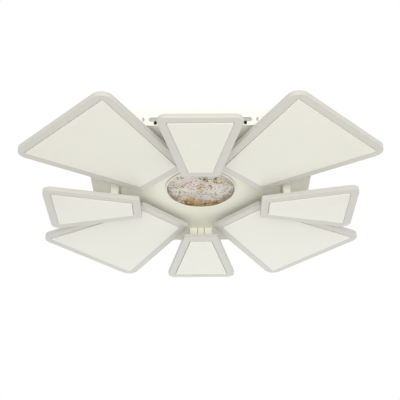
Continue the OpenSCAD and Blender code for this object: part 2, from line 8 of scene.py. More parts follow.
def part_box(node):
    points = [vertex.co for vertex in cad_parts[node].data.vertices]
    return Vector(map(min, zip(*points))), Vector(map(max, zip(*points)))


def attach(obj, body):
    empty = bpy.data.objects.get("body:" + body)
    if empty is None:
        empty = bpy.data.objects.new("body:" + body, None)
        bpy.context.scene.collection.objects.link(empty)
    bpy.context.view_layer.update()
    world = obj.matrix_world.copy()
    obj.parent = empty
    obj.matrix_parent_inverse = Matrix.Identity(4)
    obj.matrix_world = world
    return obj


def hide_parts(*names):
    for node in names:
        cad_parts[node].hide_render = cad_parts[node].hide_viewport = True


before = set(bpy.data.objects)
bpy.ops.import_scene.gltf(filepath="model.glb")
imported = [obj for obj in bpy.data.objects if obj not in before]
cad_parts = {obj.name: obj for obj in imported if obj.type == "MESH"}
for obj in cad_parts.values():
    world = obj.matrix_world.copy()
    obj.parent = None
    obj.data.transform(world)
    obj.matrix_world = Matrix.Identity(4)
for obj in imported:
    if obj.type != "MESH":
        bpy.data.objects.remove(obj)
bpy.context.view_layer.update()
print("frame loaded:", len(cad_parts), "nodes")


# Camera: it stands below and in front of the light and looks up at it
camera = {
    "aim": (0.0, 0.0, -0.077),
    "distance": 2.216,
    "lookUp": 30.997,      # this and the next two are in degrees
    "heading": -0.080,
    "roll": -0.265,
    "aside": -0.0020,
    "above": -0.0014,
    "lens": 80.32,
    "sensor": 36,
    "farthest": 50,
}


def makeCamera(spec):
    up = math.radians(spec["lookUp"])
    heading = math.radians(spec["heading"])
    roll = math.radians(spec["roll"])
    ahead = Vector((math.sin(heading) * math.cos(up), math.cos(heading) * math.cos(up), math.sin(up)))
    level = Vector((math.cos(heading), -math.sin(heading), 0))
    upward = level.cross(ahead)
    place = Vector(spec["aim"]) - ahead * spec["distance"] + level * spec["aside"] + upward * spec["above"]
    across = level * math.cos(roll) + upward * math.sin(roll)
    over = upward * math.cos(roll) - level * math.sin(roll)
    lens = bpy.data.cameras.new("camera")
    lens.lens = spec["lens"]
    lens.sensor_width = spec["sensor"]
    lens.clip_end = spec["farthest"]
    viewer = bpy.data.objects.new("camera", lens)
    viewer.matrix_world = Matrix.Translation(place) @ Matrix((across, over, -ahead)).transposed().to_4x4()
    bpy.context.scene.collection.objects.link(viewer)
    bpy.context.scene.camera = viewer


makeCamera(camera)
bpy.context.scene.view_settings.view_transform = "Standard"


# Materials: a wire is one socket, so that sums on sockets read as plain sums
class Wire:
    def __init__(self, finish, socket):
        self.finish = finish
        self.socket = socket

    def sum(self, operation, first, second):
        return self.finish.add("Math", {"operation": operation}, {0: first, 1: second})

    def __add__(self, other):
        return self.sum("ADD", self, other)

    def __radd__(self, other):
        return self.sum("ADD", other, self)

    def __sub__(self, other):
        return self.sum("SUBTRACT", self, other)

    def __rsub__(self, other):
        return self.sum("SUBTRACT", other, self)

    def __mul__(self, other):
        return self.sum("MULTIPLY", self, other)

    def __rmul__(self, other):
        return self.sum("MULTIPLY", other, self)

    def __gt__(self, other):
        return self.sum("GREATER_THAN", self, other)

    def __lt__(self, other):
        return self.sum("LESS_THAN", self, other)


# The nodes of one material, or of the world
class Finish:
    def __init__(self, name, library=bpy.data.materials):
        self.owner = library.new(name)
        self.owner.use_nodes = True
        self.tree = self.owner.node_tree
        self.tree.nodes.clear()

    def add(self, kind, settings=None, sockets=None, out=0):
        node = self.tree.nodes.new("ShaderNode" + kind)
        for key, value in (settings or {}).items():
            if key == "stops":
                for spare in list(node.color_ramp.elements)[1:]:
                    node.color_ramp.elements.remove(spare)
                node.color_ramp.elements[0].position = value[0][0]
                node.color_ramp.elements[0].color = value[0][1]
                for position, colour in value[1:]:
                    node.color_ramp.elements.new(position).color = colour
            else:
                setattr(node, key, value)
        for key, value in (sockets or {}).items():
            if isinstance(value, Wire):
                self.tree.links.new(value.socket, node.inputs[key])
            else:
                node.inputs[key].default_value = value
        return Wire(self, node.outputs[out]) if node.outputs else None

    def place(self, stretch=(1, 1, 1)):
        spot = self.add("TexCoord", out="Object")
        if stretch == (1, 1, 1):
            return spot
        return self.add("Mapping", sockets={"Vector": spot, "Scale": stretch})

    def cloud(self, scale, detail=3.0, roughness=0.5, stretch=(1, 1, 1)):
        return self.add("TexNoise", sockets={"Vector": self.place(stretch), "Scale": scale,
                                             "Detail": detail, "Roughness": roughness})

    def along(self, axis):
        return self.add("SeparateXYZ", sockets={0: self.place()}, out=axis)

    def height(self):
        return self.along("Z")

    def between(self, share, first, second):
        return self.add("Mix", {"data_type": "RGBA"}, {"Factor": share, 6: first, 7: second}, out=2)

    def ramp(self, value, stops):
        return self.add("ValToRGB", {"stops": stops}, {"Fac": value})

    def relief(self, height, depth, strength=1.0):
        return self.add("Bump", sockets={"Height": height, "Distance": depth, "Strength": strength})

    def surface(self, sockets):
        body = self.add("BsdfPrincipled", sockets=sockets)
        self.add("OutputMaterial", sockets={"Surface": body})
        return self.owner


def linear(level):
    share = level / 255
    return share / 12.92 if share <= 0.04045 else ((share + 0.055) / 1.055) ** 2.4


def srgb(red, green, blue):
    return (linear(red), linear(green), linear(blue), 1.0)


def shaded(colour, share):
    return (*[c * share for c in colour[:3]], 1.0)


# Sprayed coats: a fine orange peel, faint clouds in the colour and a little dust
coats = {
    "trayPaint": {"colour": srgb(250, 250, 238), "roughness": 0.42, "coat": 0.0,
                  "peel": 900, "depth": 0.00003},
    "frameCoat": {"colour": srgb(205, 203, 197), "roughness": 0.36, "coat": 0.15,
                  "peel": 1100, "depth": 0.00002},
    "spacerCoat": {"colour": srgb(250, 248, 238), "roughness": 0.40, "coat": 0.0,
                   "peel": 1000, "depth": 0.00002},
}


def sprayedCoat(name, spec):
    finish = Finish(name)
    broad = finish.cloud(scale=7, detail=2)
    fine = finish.cloud(scale=60, detail=4, roughness=0.6)
    peel = finish.cloud(scale=spec["peel"], detail=2)
    dust = (fine > 0.63) * 0.25
    warm = finish.between(broad, shaded(spec["colour"], 0.975), spec["colour"])
    return finish.surface({
        "Base Color": finish.between(dust, warm, shaded(spec["colour"], 0.93)),
        "Roughness": fine * 0.12 + (spec["roughness"] - 0.06),
        "Coat Weight": spec["coat"],
        "Coat Roughness": 0.25,
        "Normal": finish.relief(peel, spec["depth"]),
    })


# Opal acrylic: smooth, milky, with a very faint flow pattern from moulding
opals = {
    "opal": {"scale": 9, "stops": [(0.0, srgb(228, 227, 219)), (1.0, srgb(231, 230, 222))]},
    "discOpal": {"scale": 26, "stops": [
        (0.34, srgb(255, 254, 242)), (0.42, srgb(255, 251, 232)), (0.50, srgb(255, 246, 220)),
        (0.57, srgb(255, 238, 216)), (0.64, srgb(255, 240, 230)), (0.72, srgb(255, 249, 222))]},
}


def opalAcrylic(name, spec):
    finish = Finish(name)
    milk = finish.cloud(spec["scale"], detail=2, roughness=0.45)
    flow = finish.cloud(scale=900, detail=2)
    return finish.surface({
        "Base Color": finish.ramp(milk, spec["stops"]),
        "Roughness": flow * 0.08 + 0.24,
        "Subsurface Weight": 0.25,
        "Subsurface Radius": (0.006, 0.0055, 0.005),
        "Subsurface Scale": 0.6,
        "Coat Weight": 0.1,
        "Coat Roughness": 0.12,
        "Normal": finish.relief(flow, depth=0.00001, strength=0.15),
    })


# Plated steel: spangle in the roughness and a thin film over it
plates = {
    "zinc": {"colour": srgb(200, 200, 199), "roughness": 0.34},
    "brass": {"colour": srgb(206, 176, 104), "roughness": 0.28},
}


def platedSteel(name, spec):
    finish = Finish(name)
    spangle = finish.add("TexVoronoi", sockets={"Vector": finish.place(), "Scale": 90.0}, out="Color")
    grey = finish.add("RGBToBW", sockets={0: spangle})
    film = finish.cloud(scale=25, detail=4, roughness=0.6)
    return finish.surface({
        "Base Color": finish.between(film, shaded(spec["colour"], 0.8), spec["colour"]),
        "Metallic": 1.0,
        "Roughness": grey * 0.16 + film * 0.14 + (spec["roughness"] - 0.15),
        "Normal": finish.relief(film, depth=0.00005, strength=0.5),
    })


# Rolled sheet: streaks one way, in the colour and in the roughness
def rolledAluminium(name, colour):
    finish = Finish(name)
    streaks = finish.cloud(scale=30, detail=4, roughness=0.6, stretch=(1, 40, 1))
    return finish.surface({
        "Base Color": finish.between(streaks, shaded(colour, 0.88), colour),
        "Metallic": 1.0,
        "Roughness": streaks * 0.2 + 0.26,
        "Normal": finish.relief(streaks, depth=0.00003, strength=0.6),
    })


def blackOxide(name):
    finish = Finish(name)
    bloom = finish.cloud(scale=500, roughness=0.6)
    return finish.surface({
        "Base Color": finish.between(bloom, srgb(14, 14, 16), srgb(34, 34, 38)),
        "Metallic": 0.6,
        "Roughness": bloom * 0.25 + 0.3,
        "Normal": finish.relief(bloom, depth=0.00004),
    })


# Gold round the disc: browner toward left and right and palest in the middle of the far and near sides; the
# paler middle is painted light that lifts the shade a small panel casts on the far side's middle
gilding = {
    "paintedLightFade": 650,       # how soon it turns brown, per square metre off the middle
    "ringBrown": [(0.0, srgb(140, 113, 44)), (0.55, srgb(154, 126, 58)),
                  (0.78, srgb(214, 196, 150)), (1.0, srgb(230, 216, 184))],
    # The pale ramps are painted light for the middle of the sides; the brown ramps are the gold's own colour
    "ringPale": [(0.0, srgb(218, 190, 144)), (0.55, srgb(226, 200, 158)),
                 (0.78, srgb(246, 234, 206)), (1.0, srgb(248, 240, 222))],
    "foilBrown": [(0.0, srgb(110, 88, 34)), (0.5, srgb(124, 100, 38)), (1.0, srgb(144, 117, 50))],
    "foilPale": [(0.0, srgb(186, 160, 120)), (0.5, srgb(200, 174, 132)), (1.0, srgb(214, 188, 146))],
    "leaf": srgb(240, 208, 106),
    # Painted shade: the ring's outer wall is a greyer white than the tray, though it faces the lamps
    "ringWallPaintedShade": srgb(206, 205, 197),
}


def gilded(finish, step, kind):
    brown = finish.ramp(step, gilding[kind + "Brown"])
    paintedLit = finish.ramp(step, gilding[kind + "Pale"])
    # Painted light: the middle of the far and near sides is paler, and turns brown toward left and right
    outOfPaintedLight = finish.along("X") * finish.along("X") * gilding["paintedLightFade"]
    return finish.between(outOfPaintedLight, paintedLit, brown)


# The ring: gold-brown inside, with fine turning marks, white like the tray on its lip, and a greyer white on
# its outer wall, which is painted shade
def ringFinish(name, levels, outside, lipColour):
    finish = Finish(name)
    flat = finish.add("VectorMath", {"operation": "MULTIPLY"}, {0: finish.place(), 1: (1, 1, 0)})
    reach = finish.add("VectorMath", {"operation": "LENGTH"}, {0: flat}, out="Value")
    lip = finish.height() < levels["lip"]
    # The outer wall takes the painted shade colour
    paintedShadeWall = reach > outside
    white = lip + paintedShadeWall > 0.5
    marks = finish.cloud(scale=14, detail=4, roughness=0.6, stretch=(1, 1, 90))
    rise = (finish.height() - levels["seat"]) * (1 / (levels["cap"] - levels["seat"]))
    # The ring's gold carries the painted light in the middle of its sides
    gold = gilded(finish, rise + marks * 0.3 - 0.15, "ring")
    return finish.surface({
        "Base Color": finish.between(lip, finish.between(paintedShadeWall, gold, gilding["ringWallPaintedShade"]), lipColour),
        "Metallic": 0.25 - white * 0.25,
        "Roughness": marks * 0.2 + 0.36,
        "Normal": finish.relief(marks, depth=0.00003, strength=0.6),
    })


# Foil round the crystal's side: darker at the face, paler behind, with specks of leaf in it
def rimFoil(name, low, high):
    finish = Finish(name)
    rise = (finish.height() - low) * (1 / (high - low))
    patch = finish.cloud(scale=130, detail=4, roughness=0.7)
    leaf = finish.cloud(scale=130, roughness=0.6) > 0.60
    # The foil carries the same painted light in the middle of its sides as the ring
    foil = gilded(finish, rise + patch * 0.4 - 0.2, "foil")
    return finish.surface({
        "Base Color": finish.between(leaf * 0.8, foil, gilding["leaf"]),
        "Metallic": leaf * 0.6 + 0.2,
        "Roughness": patch * 0.3 + 0.4,
    })


# Clear resin: lamps shine through it onto what is cast inside and behind
def clearCrystal(name):
    finish = Finish(name)
    tint = finish.cloud(scale=22, detail=2)
    waves = finish.cloud(scale=60, detail=2, roughness=0.4)
    body = finish.add("BsdfPrincipled", sockets={
        "Base Color": finish.ramp(tint, [(0.40, srgb(254, 254, 252)), (0.62, srgb(254, 249, 253))]),
        "Roughness": 0.0,
        "IOR": 1.49,
        "Transmission Weight": 1.0,
        "Normal": finish.relief(waves, depth=0.00012, strength=0.5),
    })
    bare = finish.add("BsdfTransparent")
    shadow = finish.add("LightPath", out="Is Shadow Ray")
    both = finish.add("MixShader", sockets={0: shadow, 1: body, 2: bare})
    finish.add("OutputMaterial", sockets={"Surface": both})
    return finish.owner


# Things cast inside the crystal: two colours in patches
casts = {
    "bubble": {"colours": (srgb(236, 238, 240), srgb(206, 212, 214)), "metallic": 1.0, "roughness": 0.05},
    "olive": {"colours": (srgb(66, 60, 40), srgb(104, 94, 72)), "metallic": 0.0, "roughness": 0.4},
    "mauve": {"colours": (srgb(116, 106, 100), srgb(160, 146, 144)), "metallic": 0.0, "roughness": 0.4},
    "goldLeaf": {"colours": (srgb(248, 226, 124), srgb(226, 190, 92)), "metallic": 0.8, "roughness": 0.3},
    "ochre": {"colours": (srgb(106, 92, 48), srgb(158, 140, 84)), "metallic": 0.6, "roughness": 0.35},
    "amber": {"colours": (srgb(140, 92, 52), srgb(216, 166, 112)), "metallic": 0.0, "roughness": 0.3},
    "lime": {"colours": (srgb(206, 208, 158), srgb(228, 228, 184)), "metallic": 0.0, "roughness": 0.3},
    "milk": {"colours": (srgb(206, 202, 180), srgb(212, 206, 188)), "metallic": 0.0, "roughness": 0.4},
    "sand": {"colours": (srgb(208, 180, 124), srgb(228, 202, 150)), "metallic": 0.0, "roughness": 0.4},
}


def castIn(name, spec):
    finish = Finish(name)
    patch = finish.cloud(scale=160, detail=2, roughness=0.6)
    first, second = spec["colours"]
    return finish.surface({
        "Base Color": finish.ramp(patch, [(0.38, first), (0.62, second)]),
        "Metallic": spec["metallic"],
        "Roughness": patch * 0.2 + spec["roughness"],
    })


# Moulded plastic: a fine grain and faint clouds in the colour
mouldings = {
    "case": {"colour": srgb(228, 229, 228), "roughness": 0.5},
    "nylon": {"colour": srgb(236, 236, 230), "roughness": 0.38},
}


def moulded(name, spec):
    finish = Finish(name)
    grain = finish.cloud(scale=1400, roughness=0.6)
    broad = finish.cloud(scale=20, detail=2)
    return finish.surface({
        "Base Color": finish.between(broad, shaded(spec["colour"], 0.95), spec["colour"]),
        "Roughness": grain * 0.12 + (spec["roughness"] - 0.06),
        "Normal": finish.relief(grain, depth=0.00005, strength=0.7),
    })


def leadSleeve(name):
    finish = Finish(name)
    scuff = finish.cloud(scale=220, detail=4, roughness=0.6)
    return finish.surface({
        "Base Color": finish.between(scuff, srgb(176, 173, 158), srgb(204, 201, 186)),
        "Roughness": scuff * 0.2 + 0.4,
        "Normal": finish.relief(scuff, depth=0.00003),
    })


# A white solder mask; what stands below the board's face are its yellow light chips
def solderMask(name, face, slack=0.0001):
    finish = Finish(name)
    mask = finish.cloud(scale=350, roughness=0.6)
    chips = finish.height() < face - slack
    white = finish.between(mask, srgb(236, 237, 233), srgb(246, 246, 243))
    return finish.surface({
        "Base Color": finish.between(chips, white, srgb(238, 214, 120)),
        "Roughness": mask * 0.15 + 0.35,
        "Normal": finish.relief(mask, depth=0.00002),
    })


finishes = {}
for maker, kinds in ((sprayedCoat, coats), (opalAcrylic, opals), (platedSteel, plates),
                     (castIn, casts), (moulded, mouldings)):
    for name, kind in kinds.items():
        finishes[name] = maker(name, kind)
finishes["aluminium"] = rolledAluminium("aluminium", srgb(206, 208, 211))
finishes["blackOxide"] = blackOxide("blackOxide")
finishes["crystal"] = clearCrystal("crystal")
finishes["lead"] = leadSleeve("lead")
print("finishes made:", len(finishes))


# Shapes
modelling = {
    "sameSpot": 0.000002,      # corners nearer than this are one
    "levelSlack": 0.00002,     # corners this near a level lie on it
    "flatAngle": 0.2,          # degrees: faces that meet at less are one
    "easedFrom": 40,           # degrees: edges that are less sharp stay as they are
}


def camel(words):
    first, *rest = words.split("_")
    return first + "".join(word.capitalize() for word in rest)


def mergedCopy(node):
    shape = bmesh.new()
    shape.from_mesh(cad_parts[node].data)
    bmesh.ops.remove_doubles(shape, verts=shape.verts, dist=modelling["sameSpot"])
    bmesh.ops.dissolve_limit(shape, angle_limit=math.radians(modelling["flatAngle"]),
                             verts=shape.verts, edges=shape.edges)
    return shape


def atLevel(level, axis=2):
    return lambda edge: all(abs(corner.co[axis] - level) < modelling["levelSlack"] for corner in edge.verts)


def rises(edge, least):
    return abs(edge.verts[0].co.z - edge.verts[1].co.z) > least


def soften(shape, chosen, width, segments=3):
    least = math.radians(modelling["easedFrom"])
    edges = [e for e in shape.edges if len(e.link_faces) == 2 and e.calc_face_angle(0) > least and chosen(e)]
    bmesh.ops.bevel(shape, geom=edges, offset=width, segments=segments, profile=0.5,
                    affect="EDGES", material=-1, clamp_overlap=True)


def put(shape, name, finish, body, nodes=(), smooth=38, weighted=True):
    mesh = bpy.data.meshes.new(name)
    shape.to_mesh(mesh)
    shape.free()
    mesh.materials.append(finishes[finish])
    mesh.polygons.foreach_set("use_smooth", [True] * len(mesh.polygons))
    mesh.set_sharp_from_angle(angle=math.radians(smooth))
    piece = bpy.data.objects.new(name, mesh)
    bpy.context.scene.collection.objects.link(piece)
    if weighted:
        normals = piece.modifiers.new("flatFaces", "WEIGHTED_NORMAL")
        normals.keep_sharp = True
        normals.weight = 100
    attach(piece, body)
    if nodes:
        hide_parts(*nodes)
    return piece


def dress(nodes, finish):
    for node in nodes:
        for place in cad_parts[node].material_slots:
            place.material = finishes[finish]


# The tray: bent sheet, so its lower edge is round and every cut edge is only eased
tray = {
    "bendRadius": 0.0014,
    "bendZone": 0.012,      # lower edges this near to the tray's sides are bends
    "cutEase": 0.00018,
}


def makeTray(spec):
    low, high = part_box("chassis")
    shape = mergedCopy("chassis")
    under = atLevel(low.z)
    zone = high.x - spec["bendZone"]
    onBend = lambda edge: under(edge) and max(abs(c) for v in edge.verts for c in v.co[:2]) > zone
    soften(shape, onBend, spec["bendRadius"], segments=4)
    soften(shape, atLevel(high.z), spec["cutEase"], segments=2)
    put(shape, "tray", "trayPaint", "fixture", ["chassis"])


makeTray(tray)
print("tray made")


# The petal panels: pressed frames, opal diffusers and the boards in them
panels = {
    "count": 4,
    "frameEdge": 0.0011,
    "windowEdge": 0.0003,
    "backEdge": 0.0003,
    "opalEdge": 0.0007,
    "spacerEdge": 0.0007,
    "uprightFrom": 0.01,      # a spacer's edges that rise more than this are upright
    "boardThick": 0.0012,
}


def makePanels(spec):
    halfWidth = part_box("small_spacer_1")[1].y      # it lies along X, and all spacers are as wide
    for size, spacers in (("large", "spacers"), ("small", "spacer")):
        for number in range(1, spec["count"] + 1):
            node = f"{size}_frame_{number}"
            low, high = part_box(node)
            shape = mergedCopy(node)
            middle = (low + high) / 2
            under = atLevel(low.z)
            outer = lambda edge: under(edge) and facesOut(edge, middle)
            inner = lambda edge: under(edge) and not facesOut(edge, middle)
            soften(shape, outer, spec["frameEdge"], segments=4)
            soften(shape, inner, spec["windowEdge"], segments=2)
            soften(shape, atLevel(high.z), spec["backEdge"], segments=2)
            put(shape, camel(node), "frameCoat", "fixture", [node])

            node = f"{size}_diffuser_{number}"
            low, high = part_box(node)
            shape = mergedCopy(node)
            soften(shape, atLevel(low.z), spec["opalEdge"], segments=4)
            put(shape, camel(node), "opal", "fixture", [node])

            node = f"{size}_{spacers}_{number}"
            shape = mergedCopy(node)
            turn = math.radians(45 * (2 * number - (1 if size == "large" else 2)))
            corner = lambda edge: rises(edge, spec["uprightFrom"]) and isOuterCorner(edge, turn, halfWidth)
            soften(shape, corner, spec["spacerEdge"], segments=3)
            put(shape, camel(node), "spacerCoat", "fixture", [node])

            node = f"{size}_board_{number}"
            low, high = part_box(node)
            name = f"{size}Mask"
            if name not in finishes:
                finishes[name] = solderMask(name, high.z - spec["boardThick"])
            dress([node], name)


# An edge lies outside when an upright face beside it looks away from the middle
def facesOut(edge, middle):
    return any(abs(f.normal.z) < 0.5 and f.normal.dot(f.calc_center_median() - middle) > 0
               for f in edge.link_faces)


# A spacer's outer corners stand half its width to either side of its middle line
def isOuterCorner(edge, turn, halfWidth, slack=0.0003):
    spot = edge.verts[0].co
    across = spot.y * math.cos(turn) - spot.x * math.sin(turn)
    return abs(abs(across) - halfWidth) < slack


makePanels(panels)
print("panels made")


# The crystal disc in its ring
disc = {
    "lipEase": 0.0004,
    "lipReach": 0.00005,      # the lip's white ends this far above the crystal's face
    "wallInside": 0.0009,     # the ring's gold ends this far outside the crystal
    "crystalEase": 0.0009,
    "boardThick": 0.0016,
    "steps": 96,
    "seed": 7,
    "beads": {      # finish, how many, and the smallest and largest radius
        "castBubbles": ("bubble", 60, (0.0007, 0.0016)),
        "castSpecks": ("olive", 70, (0.0009, 0.0020)),
        "castMauves": ("mauve", 80, (0.0010, 0.0022)),
    },
    "beadMargin": 0.004,
    "beadSquash": (0.7, 1.3),
    "strokes": {
        "count": 16,
        "margin": 0.008,
        "radius": (0.0006, 0.0011),
        "bow": (0.003, 0.006),
        "sweep": (0.8, 2.0),
        "lean": 0.5,
    },
    "longStrokes": {
        "radius": (0.0008, 0.0012),
        "depth": (0.003, 0.006),
        "sweep": 1.5,
        "lean": 0.3,
        "places": [     # middle, turn in degrees and length, in millimetres
            (-46, -53, 0, 10), (-56, -52, 80, 13), (-62, -10, 10, 13), (-19, -1, 0, 13), (4, -12, 12, 13),
            (27, -8, 84, 28), (51, -31, 0, 15), (39, 24, 86, 18), (-2, -50, 60, 12), (-24, -32, 30, 8),
            (-6, 22, 0, 10), (62, -2, 10, 9)],
    },
    "flakes": {     # how many in a cluster, how they lie and their sizes
        "fewest": 4,
        "perReach": 1.5,
        "spread": (0.5, 0.6),
        "depth": (0.002, 0.007),
        "margin": 0.004,
        "smallest": 0.0012,
        "largest": 0.0020,
        "growth": 0.00022,
        "lean": 0.5,
        "taper": 0.8,
        "thick": 0.0003,
        "ragged": 0.18,
    },
    "leaves": {     # middle and reach of each cluster in millimetres, as seen on the face
        "goldLeaf": [
            (3, 4, 6), (-19, 62, 8), (38, -32, 6), (9, -44, 4), (8, 77, 5), (-54, 57, 5), (-44, 66, 4),
            (-68, 25, 2), (-8, 12, 3), (40, -26, 3), (-30, 68, 4), (24, 72, 2)],
        "ochre": [
            (37, -50, 5), (9, -47, 3), (10, 70, 3), (61, 44, 6), (-54, 66, 3), (-28, 74, 3), (44, 58, 5),
            (77, 26, 4), (-46, -16, 2)],
        "amber": [
            (-18, 46, 7), (-4, -6, 5), (-34, 48, 4), (-24, 66, 4), (2, -24, 3), (-2, 50, 4), (14, -38, 3),
            (-56, 36, 4), (74, 20, 4), (-78, 22, 4)],
        "lime": [
            (73, -32, 7), (-58, -8, 5), (-48, 4, 6), (58, 20, 5), (-62, 10, 4), (80, -14, 4), (36, -44, 4)],
    },
    "pebbles": {    # middle, and half the width, depth and height, in millimetres
        "milk": [(13, 40, 17, 15, 2.2)],
        "sand": [(-30, 44, 13, 12, 1.2), (-12, 52, 10, 12, 1.2), (34, 52, 15, 8, 1.2), (-52, 46, 7, 8, 1.0)],
    },
    "pebbleDepth": 0.008,
    "pebbleWaves": [(0.07, 2, 1), (0.05, 5, 0), (0.02, 9, 0)],      # size, waves in a round, and start
}


def makeRing(spec):
    low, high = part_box("disc_ring")
    face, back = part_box("crystal_disc")
    levels = {"lip": face.z + spec["lipReach"], "seat": back.z, "cap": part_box("disc_diffuser")[0].z}
    finishes["gold"] = ringFinish("gold", levels, back.x + spec["wallInside"], coats["trayPaint"]["colour"])
    shape = mergedCopy("disc_ring")
    soften(shape, atLevel(low.z), spec["lipEase"], segments=3)
    put(shape, "discRing", "gold", "fixture", ["disc_ring"])


def makeCrystal(spec):
    low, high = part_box("crystal_disc")
    section = [(0, low.z), (high.x, low.z), (high.x, high.z), (0, high.z)]
    shape = bmesh.new()
    corners = [shape.verts.new((r, 0, z)) for r, z in section]
    for a, b in zip(corners, corners[1:]):
        shape.edges.new((a, b))
    bmesh.ops.spin(shape, geom=shape.verts[:] + shape.edges[:], cent=(0, 0, 0), axis=(0, 0, 1),
                   angle=math.tau, steps=spec["steps"], use_merge=True)
    bmesh.ops.remove_doubles(shape, verts=shape.verts, dist=modelling["sameSpot"])
    bmesh.ops.recalc_face_normals(shape, faces=shape.faces)
    soften(shape, lambda edge: True, spec["crystalEase"], segments=3)
    for face in shape.faces:
        if abs(face.normal.z) < 0.2:
            face.material_index = 1      # the side carries the foil
    finishes["foil"] = rimFoil("foil", low.z, high.z)
    piece = put(shape, "crystal", "crystal", "fixture", ["crystal_disc"])
    piece.data.materials.append(finishes["foil"])
    return low, high


def turned(chance, spot, size):
    angle = chance.uniform(0, math.tau)
    axis = Vector([chance.gauss(0, 1) for _ in range(3)]).normalized()
    return Matrix.Translation(spot) @ Matrix.Rotation(angle, 4, axis) @ Matrix.Diagonal((*size, 1))


def leaning(turn, lean, axis):
    return Matrix.Rotation(turn, 4, "Z") @ Matrix.Rotation(lean, 4, axis)


def spotInside(chance, low, high, margin):
    reach = high.x - margin
    distance = reach * math.sqrt(chance.random())
    turn = chance.uniform(0, math.tau)
    return Vector((distance * math.cos(turn), distance * math.sin(turn),
                   chance.uniform(low.z + margin / 2, high.z - margin / 2)))


# Light bends at the face, so what lies deeper is set back to be seen at its place on the face
def seenAt(x, y, depth, low, bending=0.7):
    return Vector((x / 1000, y / 1000 + depth * bending, low.z + depth))


def makeBeads(name, finish, count, sizes, spec, chance, low, high):
    shape = bmesh.new()
    for _ in range(count):
        size = chance.uniform(*sizes)
        spot = spotInside(chance, low, high, spec["beadMargin"])
        squash = [size * chance.uniform(*spec["beadSquash"]) for _ in range(3)]
        bmesh.ops.create_uvsphere(shape, u_segments=8, v_segments=6, radius=1,
                                  matrix=turned(chance, spot, squash))
    put(shape, name, finish, "fixture", smooth=80, weighted=False)


def bendStroke(shape, radius, bow, sweep, matrix):
    start = Matrix.Translation((bow, 0, 0)) @ Matrix.Rotation(math.pi / 2, 4, "X")
    made = bmesh.ops.create_circle(shape, cap_ends=True, segments=6, radius=radius, matrix=start)
    geometry = made["verts"] + list({f for v in made["verts"] for f in v.link_faces})
    geometry += list({e for v in made["verts"] for e in v.link_edges})
    before = set(shape.verts) - set(made["verts"])
    bmesh.ops.spin(shape, geom=geometry, cent=(0, 0, 0), axis=(0, 0, 1), angle=sweep, steps=6)
    fresh = [v for v in shape.verts if v not in before]
    centred = Matrix.Translation((-bow, 0, 0)) @ Matrix.Rotation(-sweep / 2, 4, "Z")
    bmesh.ops.transform(shape, matrix=matrix @ centred, verts=fresh)


def makeStrokes(name, spec, chance, low, high):
    shape = bmesh.new()
    long = spec["longStrokes"]
    for x, y, turn, length in long["places"]:
        tilt = leaning(math.radians(turn - 90), chance.uniform(-long["lean"], long["lean"]), "Y")
        radius = chance.uniform(*long["radius"])
        spot = seenAt(x, y, chance.uniform(*long["depth"]), low)
        bow = length / (1000 * long["sweep"])
        bendStroke(shape, radius, bow, long["sweep"], Matrix.Translation(spot) @ tilt)
    short = spec["strokes"]
    for _ in range(short["count"]):
        spot = spotInside(chance, low, high, short["margin"])
        tilt = leaning(chance.uniform(0, math.tau), chance.uniform(-short["lean"], short["lean"]), "X")
        radius = chance.uniform(*short["radius"])
        bow = chance.uniform(*short["bow"])
        bendStroke(shape, radius, bow, chance.uniform(*short["sweep"]), Matrix.Translation(spot) @ tilt)
    bmesh.ops.recalc_face_normals(shape, faces=shape.faces)
    put(shape, name, "olive", "fixture", smooth=80, weighted=False)


def makeLeaves(name, finish, places, spec, chance, low, high):
    shape = bmesh.new()
    wide, deep = spec["spread"]
    for x, y, reach in places:
        for _ in range(spec["fewest"] + round(spec["perReach"] * reach)):
            spot = seenAt(x + chance.gauss(0, reach * wide), y + chance.gauss(0, reach * deep),
                          chance.uniform(*spec["depth"]), low)
            if Vector(spot[:2]).length > high.x - spec["margin"]:
                continue
            size = chance.uniform(spec["smallest"], spec["largest"] + reach * spec["growth"])
            tilt = leaning(chance.uniform(0, math.tau), chance.gauss(0, spec["lean"]), "X")
            made = bmesh.ops.create_cone(shape, cap_ends=True, segments=6, radius1=size,
                                         radius2=size * spec["taper"], depth=spec["thick"],
                                         matrix=Matrix.Translation(spot) @ tilt)
            for corner in made["verts"]:
                corner.co += Vector([chance.gauss(0, size * spec["ragged"]) for _ in range(3)])
    put(shape, name, finish, "fixture", smooth=60, weighted=False)


# Big smooth pebbles of milky resin under the face, their outlines drawn in and out by waves
def makePebbles(name, finish, places, spec, low):
    shape = bmesh.new()
    for number, (x, y, across, deep, tall) in enumerate(places):
        middle = seenAt(x, y, spec["pebbleDepth"], low)
        made = bmesh.ops.create_icosphere(shape, subdivisions=4, radius=0.001, matrix=(
            Matrix.Translation(middle) @ Matrix.Diagonal((across, deep, tall, 1))))
        for corner in made["verts"]:
            away = corner.co - middle
            turn = math.atan2(away.y, away.x) + number
            corner.co += away * sum(size * math.sin(waves * turn + start)
                                    for size, waves, start in spec["pebbleWaves"])
    put(shape, name, finish, "fixture", smooth=80, weighted=False)


def castName(finish):
    return "cast" + finish[0].upper() + finish[1:]


def makeDisc(spec):
    makeRing(spec)
    low, high = makeCrystal(spec)
    chance = random.Random(spec["seed"])
    for name, (finish, count, sizes) in spec["beads"].items():
        makeBeads(name, finish, count, sizes, spec, chance, low, high)
    makeStrokes("castStrokes", spec, chance, low, high)
    for finish, places in spec["leaves"].items():
        makeLeaves(castName(finish), finish, places, spec["flakes"], chance, low, high)
    for finish, places in spec["pebbles"].items():
        makePebbles(castName(finish), finish, places, spec, low)
    dress(["disc_diffuser"], "discOpal")
    finishes["discMask"] = solderMask("discMask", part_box("disc_board")[1].z - spec["boardThick"])
    dress(["disc_board"], "discMask")
    dress(["heat_plate"], "aluminium")


makeDisc(disc)
print("disc made")


# Bracket and fasteners
metalwork = {
    "bracketEase": 0.0003,
    "sideScrews": 4,
    "headRim": 0.0033,      # a side screw's outer edge is farther from its middle than this
    "headDome": 0.0013,
}


